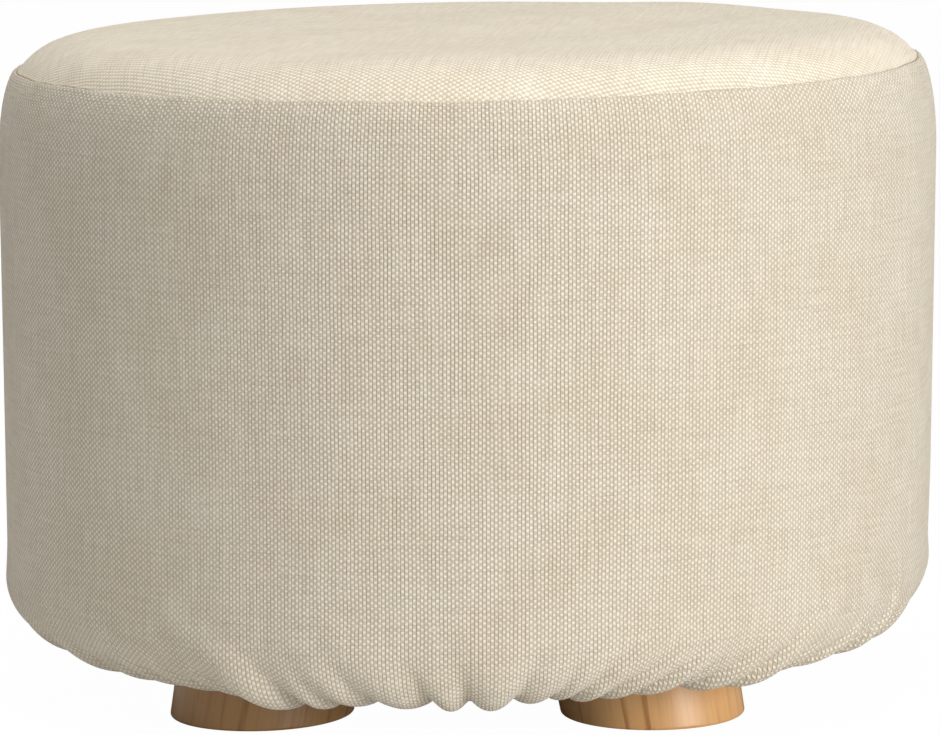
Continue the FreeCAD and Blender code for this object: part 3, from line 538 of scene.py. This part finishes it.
def top_grid(cover, stage, cols):
    """Grid of the top panel, from its middle out along the crown to where the edge bends down into the
    seam."""
    reach = COVER_RADIUS - cover.seam_inset - SEAM_GAP
    radius = reach * np.concatenate([np.linspace(0, 0.8, 22), 1 - 0.2 * np.linspace(1, 0, 42)[1:] ** 1.4])
    height = crown(radius, cover)
    bend = quarter((reach - 0.1 * MM, height[-1] - 0.7 * MM), (0.7 * MM, 0.6 * MM), 40, 0, 6)
    low = np.array([[reach + 0.2 * MM, height[-1] - 3 * MM], [reach, height[-1] - 6 * MM]])
    profile = np.concatenate([np.stack([radius, height], axis=1), bend, low])
    turn = angles(cols)
    wide, tall = profile[:, 0][:, None], profile[:, 1][:, None]
    x, y = wide * np.cos(turn), wide * np.sin(turn)
    dents = 0.35 * np.sin(46 * x + 1.2) * np.sin(39 * y + 0.4) + 0.25 * np.sin(71 * x - 58 * y + 2)
    inside = np.clip((reach - wide) / (25 * MM), 0, 1)
    edge = np.exp(-np.clip(reach - wide, 0, None) / (4 * MM))
    pucker = wobble(turn, 22, (118, 167, 229), (0.03, 0.02, 0.02)) * MM
    z = tall + dents * MM * inside + edge * (pucker + seam_wave(turn))[None, :]
    points = np.stack([x, y, np.broadcast_to(z, x.shape)], axis=-1)
    run = runs_of(profile)[:, None]
    # The threads lie a few degrees off the stool's own axes
    way = np.append(turn, 2 * np.pi) + math.radians(4)
    uv = np.stack([run * np.cos(way), run * np.sin(way)], axis=-1)
    return leaning(points, cover, stage), uv


def turned_grid(profile, cols, rise=0):
    """A profile in radius and height carried round the axis, raised or lowered by a grid of heights."""
    turn = angles(cols)
    radius = profile[:, 0][:, None]
    height = profile[:, 1][:, None] + rise
    points = np.stack(np.broadcast_arrays(radius * np.cos(turn), radius * np.sin(turn), height), axis=-1)
    across = np.linspace(0, 2 * np.pi * profile[:, 0].max(), cols + 1)
    return points, np.stack(np.broadcast_arrays(across[None, :], -runs_of(profile)[:, None]), axis=-1)


def outside(cover, inset, low, corner):
    """Profile of what lies under the cover: parallel to the crown and the side, a chamfer below the seam,
    and a rounded lower corner that ends at height low."""
    seam = COVER_RADIUS - cover.seam_inset
    radius = np.linspace(0, seam - 4 * MM, 40)
    top = np.stack([radius, crown(radius, cover) - inset], axis=1)
    middle = TOP_HEIGHT - cover.seam_drop - cover.puff
    swell = quarter((seam - inset, middle), (cover.seam_inset, cover.puff - 2.5 * MM - inset), 60, 0, 24)
    edge = COVER_RADIUS - cover.side_draw - inset
    wall = np.linspace(swell[-1], (edge, low + corner), 30)[1:]
    turned = quarter((edge - corner, low + corner), (corner, corner), 0, -90, 16)[1:]
    return np.concatenate([top, swell, wall, turned])


class StoolOperator:
    """What all the operators share."""
    bl_options = {"REGISTER", "UNDO"}


class FOOTSTOOL_OT_cover(StoolOperator, bpy.types.Operator):
    """Make the loose cover: top panel and gathered side band"""
    bl_idname = "footstool.cover"
    bl_label = "Cover"

    def execute(self, context):
        cover, stage = context.scene.footstool_cover, context.scene.footstool_stage
        top = ring_mesh("cover_top", *top_grid(cover, stage, cols=480), pole=True)
        worn = linen_weave("linen_look_plain_weave_worn", cover, 0.32)
        dressed(top, worn, "cover_top_panel")
        side = ring_mesh("cover_side", *side_grid(cover, stage, cols=880))
        dressed(side, linen_weave("linen_look_plain_weave", cover, 1.0), "cover_side_band")
        return {"FINISHED"}


class FOOTSTOOL_OT_padding(StoolOperator, bpy.types.Operator):
    """Make the foam, the lining over it and the dust cloth, and dress the elastic"""
    bl_idname = "footstool.padding"
    bl_label = "Padding and lining"

    def execute(self, context):
        cover, stage = context.scene.footstool_cover, context.scene.footstool_stage
        foam = speckled("cut_polyether_foam", "DCCF9F", "F4ECCB", grain=0.8 * MM, roughness=0.95,
                        depth=0.4 * MM)
        whole = outside(cover, inset=2.2 * MM, low=BASE_HEIGHT + 0.5 * MM, corner=8 * MM)
        part = BOARD_TOP + 0.4 * MM
        upper = whole[whole[:, 1] > part]
        side = upper[-1, 0]
        under = part - 0.2 * MM
        lower = np.array([(side, part), (side - 1.5 * MM, under), (60 * MM, under), (0, under)])
        points, uv = turned_grid(np.concatenate([upper, lower]), cols=160)
        pad = ring_mesh("seat_pad", leaning(points, cover, stage), uv, pole=True, base=True)
        dressed(pad, foam, "seat_foam")
        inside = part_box("drum_wall")[1].x + 0.4 * MM
        strip = whole[whole[:, 1] < part - 0.4 * MM]
        low = strip[-1, 1]
        inner = np.array([(inside + 0.4 * MM, low), (inside, low + 0.4 * MM), (inside, part - 1 * MM),
                          (inside + 0.4 * MM, part - 0.6 * MM), strip[0]])
        points, uv = turned_grid(np.concatenate([strip, inner]), cols=160)
        out = np.clip((np.hypot(points[..., 0], points[..., 1]) - inside) / (9 * MM), 0, 1)[..., None]
        points = points + out * (leaning(points, cover, stage) - points)
        wrap = ring_mesh("side_wrap", points, uv, loop=True)
        dressed(wrap, foam, "side_foam")
        self.lining(cover, stage)
        self.underside()
        return {"FINISHED"}

    def lining(self, cover, stage):
        """The lining lies over the foam, turns under the bottom board and ends in a cut edge."""
        cloth = speckled("spunbond_lining", "D5D2C8", "E9E6DD", grain=0.5 * MM, roughness=0.9,
                         depth=0.08 * MM)
        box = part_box("inner_lining")
        low = box[0].z + 0.25 * MM
        skin = outside(cover, inset=1.4 * MM, low=low, corner=8 * MM)
        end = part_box("dust_cloth")[1].x - 10.5 * MM
        skin = np.concatenate([skin, np.linspace(skin[-1], (end, low), 20)[1:]])
        points, uv = turned_grid(skin, cols=320)
        sheet = ring_mesh("lining", leaning(points, cover, stage), uv, pole=True)
        dressed(sheet, cloth, "inner_lining")

    def underside(self):
        """The dust cloth sags a little between the feet. The elastic keeps its solid, hidden in the hem."""
        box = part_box("dust_cloth")
        level = (box[0].z + box[1].z) / 2
        rim = box[1].x - 0.3 * MM
        radius = np.linspace(0, rim, 60)[:, None]
        turn = angles(240)
        x, y = radius * np.cos(turn), radius * np.sin(turn)
        clear = np.clip((foot_distance(x, y) - 34 * MM) / (30 * MM), 0, 1)
        inward = np.clip((box[1].x - 8 * MM - radius) / (30 * MM), 0, 1)
        sag = -1.6 * MM * clear * inward * (1 + 0.35 * np.sin(38 * x + 1) * np.cos(31 * y))
        points, uv = turned_grid(np.column_stack([radius, np.full_like(radius, level)]), cols=240, rise=sag)
        cloth = speckled("black_spunbond", "17171A", "2A2A2E", grain=0.7 * MM, roughness=0.95,
                         depth=0.1 * MM)
        sheet = ring_mesh("dust_cover", points, uv, pole=True)
        # This cloth is seen from below
        sheet.data.flip_normals()
        dressed(sheet, cloth, "dust_cloth")
        knit = speckled("knitted_elastic", "DEDBD2", "F4F2EC", grain=0.6 * MM, roughness=0.85,
                        depth=0.2 * MM)
        wear(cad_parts["hem_elastic"], knit)


def foot_distance(x, y):
    """Distance of each point from the middle of the nearest foot's top."""
    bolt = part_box("foot_bolt_back_right")[1]
    far = math.hypot(bolt.x, bolt.y) - 5.6 * MM
    turns = np.radians(list(CORNERS.values()))[:, None, None]
    return np.hypot(x - far * np.cos(turns), y - far * np.sin(turns)).min(axis=0)


class FOOTSTOOL_OT_wood(StoolOperator, bpy.types.Operator):
    """Give the feet, boards, posts and wall their wood"""
    bl_idname = "footstool.wood"
    bl_label = "Wooden pieces"

    def execute(self, context):
        wood = context.scene.footstool_wood
        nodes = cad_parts
        for corner, angle in CORNERS.items():
            # The front left foot's darker wood is painted shade; the other feet differ only as pieces of pine
            # do
            light, dark = ([part * FOOT_TONES_AND_SHADE[corner] for part in shade]
                           for shade in (wood.foot_light, wood.foot_dark))
            pine = turned_pine("turned_pine_" + corner, wood, angle, FOOT_SPLAY, light, dark)
            wear(nodes["foot_" + corner], pine)
        batten = turned_pine("sawn_pine", wood, 0, 0, light=linear("DDBB85"), dark=linear("B98A50"))
        for name in ("front", "right", "back", "left"):
            wear(nodes["frame_post_" + name], batten)
        board = plywood(layer=1.5 * MM)
        for name in ("top_board", "bottom_board"):
            wear(nodes[name], board)
        hardboard = speckled("pressed_hardboard", "5B4028", "7B5A3A", grain=0.9 * MM, roughness=0.6,
                             depth=0.1 * MM)
        wear(nodes["drum_wall"], hardboard)
        return {"FINISHED"}


def wear(piece, material):
    """Give a piece or a node of the frame this material and no other."""
    piece.data.materials.clear()
    piece.data.materials.append(material)


class FOOTSTOOL_OT_fasteners(StoolOperator, bpy.types.Operator):
    """Give bolts, nuts, screws and staples their plated steel"""
    bl_idname = "footstool.fasteners"
    bl_label = "Fasteners"

    def execute(self, context):
        zinc = zinc_plate()
        names = ["top_board_screws", "bottom_board_screws", "base_staples"]
        names += [kind + corner for kind in ("foot_bolt_", "tee_nut_") for corner in CORNERS]
        for name in names:
            wear(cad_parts[name], zinc)
        return {"FINISHED"}


class FOOTSTOOL_OT_stage(StoolOperator, bpy.types.Operator):
    """Set up the pale floor, the soft light and the camera"""
    bl_idname = "footstool.stage"
    bl_label = "Floor, light and camera"

    def execute(self, context):
        stage = context.scene.footstool_stage
        pale_floor()
        soft_light(stage)
        aimed_camera(stage)
        return {"FINISHED"}


def pale_floor():
    """A wide level floor. The camera sees it burnt out to white, as in a light tent, while the stool is lit
    by its plain matt surface."""
    half = 6.0
    corners = [(-half, -half, 0), (half, -half, 0), (half, half, 0), (-half, half, 0)]
    mesh = bpy.data.meshes.new("floor")
    mesh.from_pydata(corners, [], [(0, 1, 2, 3)])
    floor = bpy.data.objects.new("floor", mesh)
    bpy.context.scene.collection.objects.link(floor)
    material, tree, shader = blank("matt_white_floor")
    surface(tree, shader, Base_Color=(0.92, 0.92, 0.92), Roughness=1.0, Specular_IOR_Level=0.0)
    matt = shader.outputs[0]
    seen = add(tree, "LightPath")["Is Camera Ray"]
    glow = add(tree, "Emission", {"Color": (1, 1, 1), "Strength": 1.0})[0]
    veil = add(tree, "MixShader", (0.985, matt, glow))[0]
    both = add(tree, "MixShader", (seen, matt, veil))[0]
    join(tree, tree.nodes["Material Output"].inputs[0], both)
    mesh.materials.append(material)


# Square soft boxes: degrees to the camera's right, height, level distance and width in metres, and watts
SOFT_BOXES = {"key": (42, 0.4, 1.5, 0.7, 15.2), "upper": (-25, 1.5, 0.15, 0.9, 14.2)}


def soft_light(stage):
    """A large soft box to the right and front, one overhead, and even light from all round."""
    world = bpy.data.worlds.new("studio")
    world.use_nodes = True
    world.node_tree.nodes["Background"].inputs[0].default_value = (1, 1, 1, 1)
    world.node_tree.nodes["Background"].inputs[1].default_value = 0.3
    bpy.context.scene.world = world
    target = Vector((0, 0, 0.1))
    for name, (azimuth, high, far, wide, power) in SOFT_BOXES.items():
        light = bpy.data.lights.new(name, "AREA")
        light.shape, light.size, light.energy = "SQUARE", wide, power
        lamp = bpy.data.objects.new(name, light)
        turn = math.radians(azimuth) + stage.azimuth
        place = Vector((far * math.sin(turn), -far * math.cos(turn), high))
        aim = (target - place).to_track_quat("-Z", "Y")
        lamp.matrix_world = Matrix.Translation(place) @ aim.to_matrix().to_4x4()
        bpy.context.scene.collection.objects.link(lamp)


def aimed_camera(stage):
    """The camera at its level distance and height, turned round the stool, looking down and rolled."""
    data = bpy.data.cameras.new("camera")
    data.sensor_width, data.lens = 36, stage.lens
    data.clip_start, data.clip_end = 0.05, 50
    camera = bpy.data.objects.new("camera", data)
    way = stage.azimuth - stage.yaw
    level = Vector((-math.sin(way), math.cos(way), 0))
    ahead = level * math.cos(stage.pitch) - Vector((0, 0, math.sin(stage.pitch)))
    right = ahead.cross(Vector((0, 0, 1))).normalized()
    up = right.cross(ahead)
    cos, sin = math.cos(stage.roll), math.sin(stage.roll)
    axes = (right * cos - up * sin, right * sin + up * cos, -ahead)
    turn, far = stage.azimuth, stage.distance
    place = Vector((far * math.sin(turn), -far * math.cos(turn), stage.height))
    camera.matrix_world = Matrix.Translation(place) @ Matrix(axes).transposed().to_4x4()
    bpy.context.scene.collection.objects.link(camera)
    bpy.context.scene.camera = camera
    bpy.context.scene.view_settings.view_transform = "Standard"


class FOOTSTOOL_PT_panel(bpy.types.Panel):
    """Steps and settings of the footstool"""
    bl_label = "Footstool"
    bl_idname = "FOOTSTOOL_PT_panel"
    bl_space_type = "VIEW_3D"
    bl_region_type = "UI"
    bl_category = "Footstool"

    def draw(self, context):
        for step in STEPS:
            self.layout.operator(step.bl_idname)
        for holder, settings in SETTINGS.items():
            box = self.layout.box()
            for name in settings.__annotations__:
                box.prop(getattr(context.scene, holder), name)


SETTINGS = {
    "footstool_cover": CoverSettings,
    "footstool_wood": WoodSettings,
    "footstool_stage": StageSettings,
}
STEPS = (FOOTSTOOL_OT_stage, FOOTSTOOL_OT_cover, FOOTSTOOL_OT_padding, FOOTSTOOL_OT_wood,
         FOOTSTOOL_OT_fasteners)
CLASSES = (*SETTINGS.values(), *STEPS, FOOTSTOOL_PT_panel)


def register():
    for item in CLASSES:
        bpy.utils.register_class(item)
    for name, group in SETTINGS.items():
        setattr(bpy.types.Scene, name, bpy.props.PointerProperty(type=group))


def unregister():
    for name in SETTINGS:
        delattr(bpy.types.Scene, name)
    for item in reversed(CLASSES):
        bpy.utils.unregister_class(item)


def main():
    """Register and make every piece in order."""
    register()
    bpy.ops.footstool.stage()
    bpy.ops.footstool.cover()
    bpy.ops.footstool.padding()
    bpy.ops.footstool.wood()
    bpy.ops.footstool.fasteners()


if __name__ == "__main__":
    main()
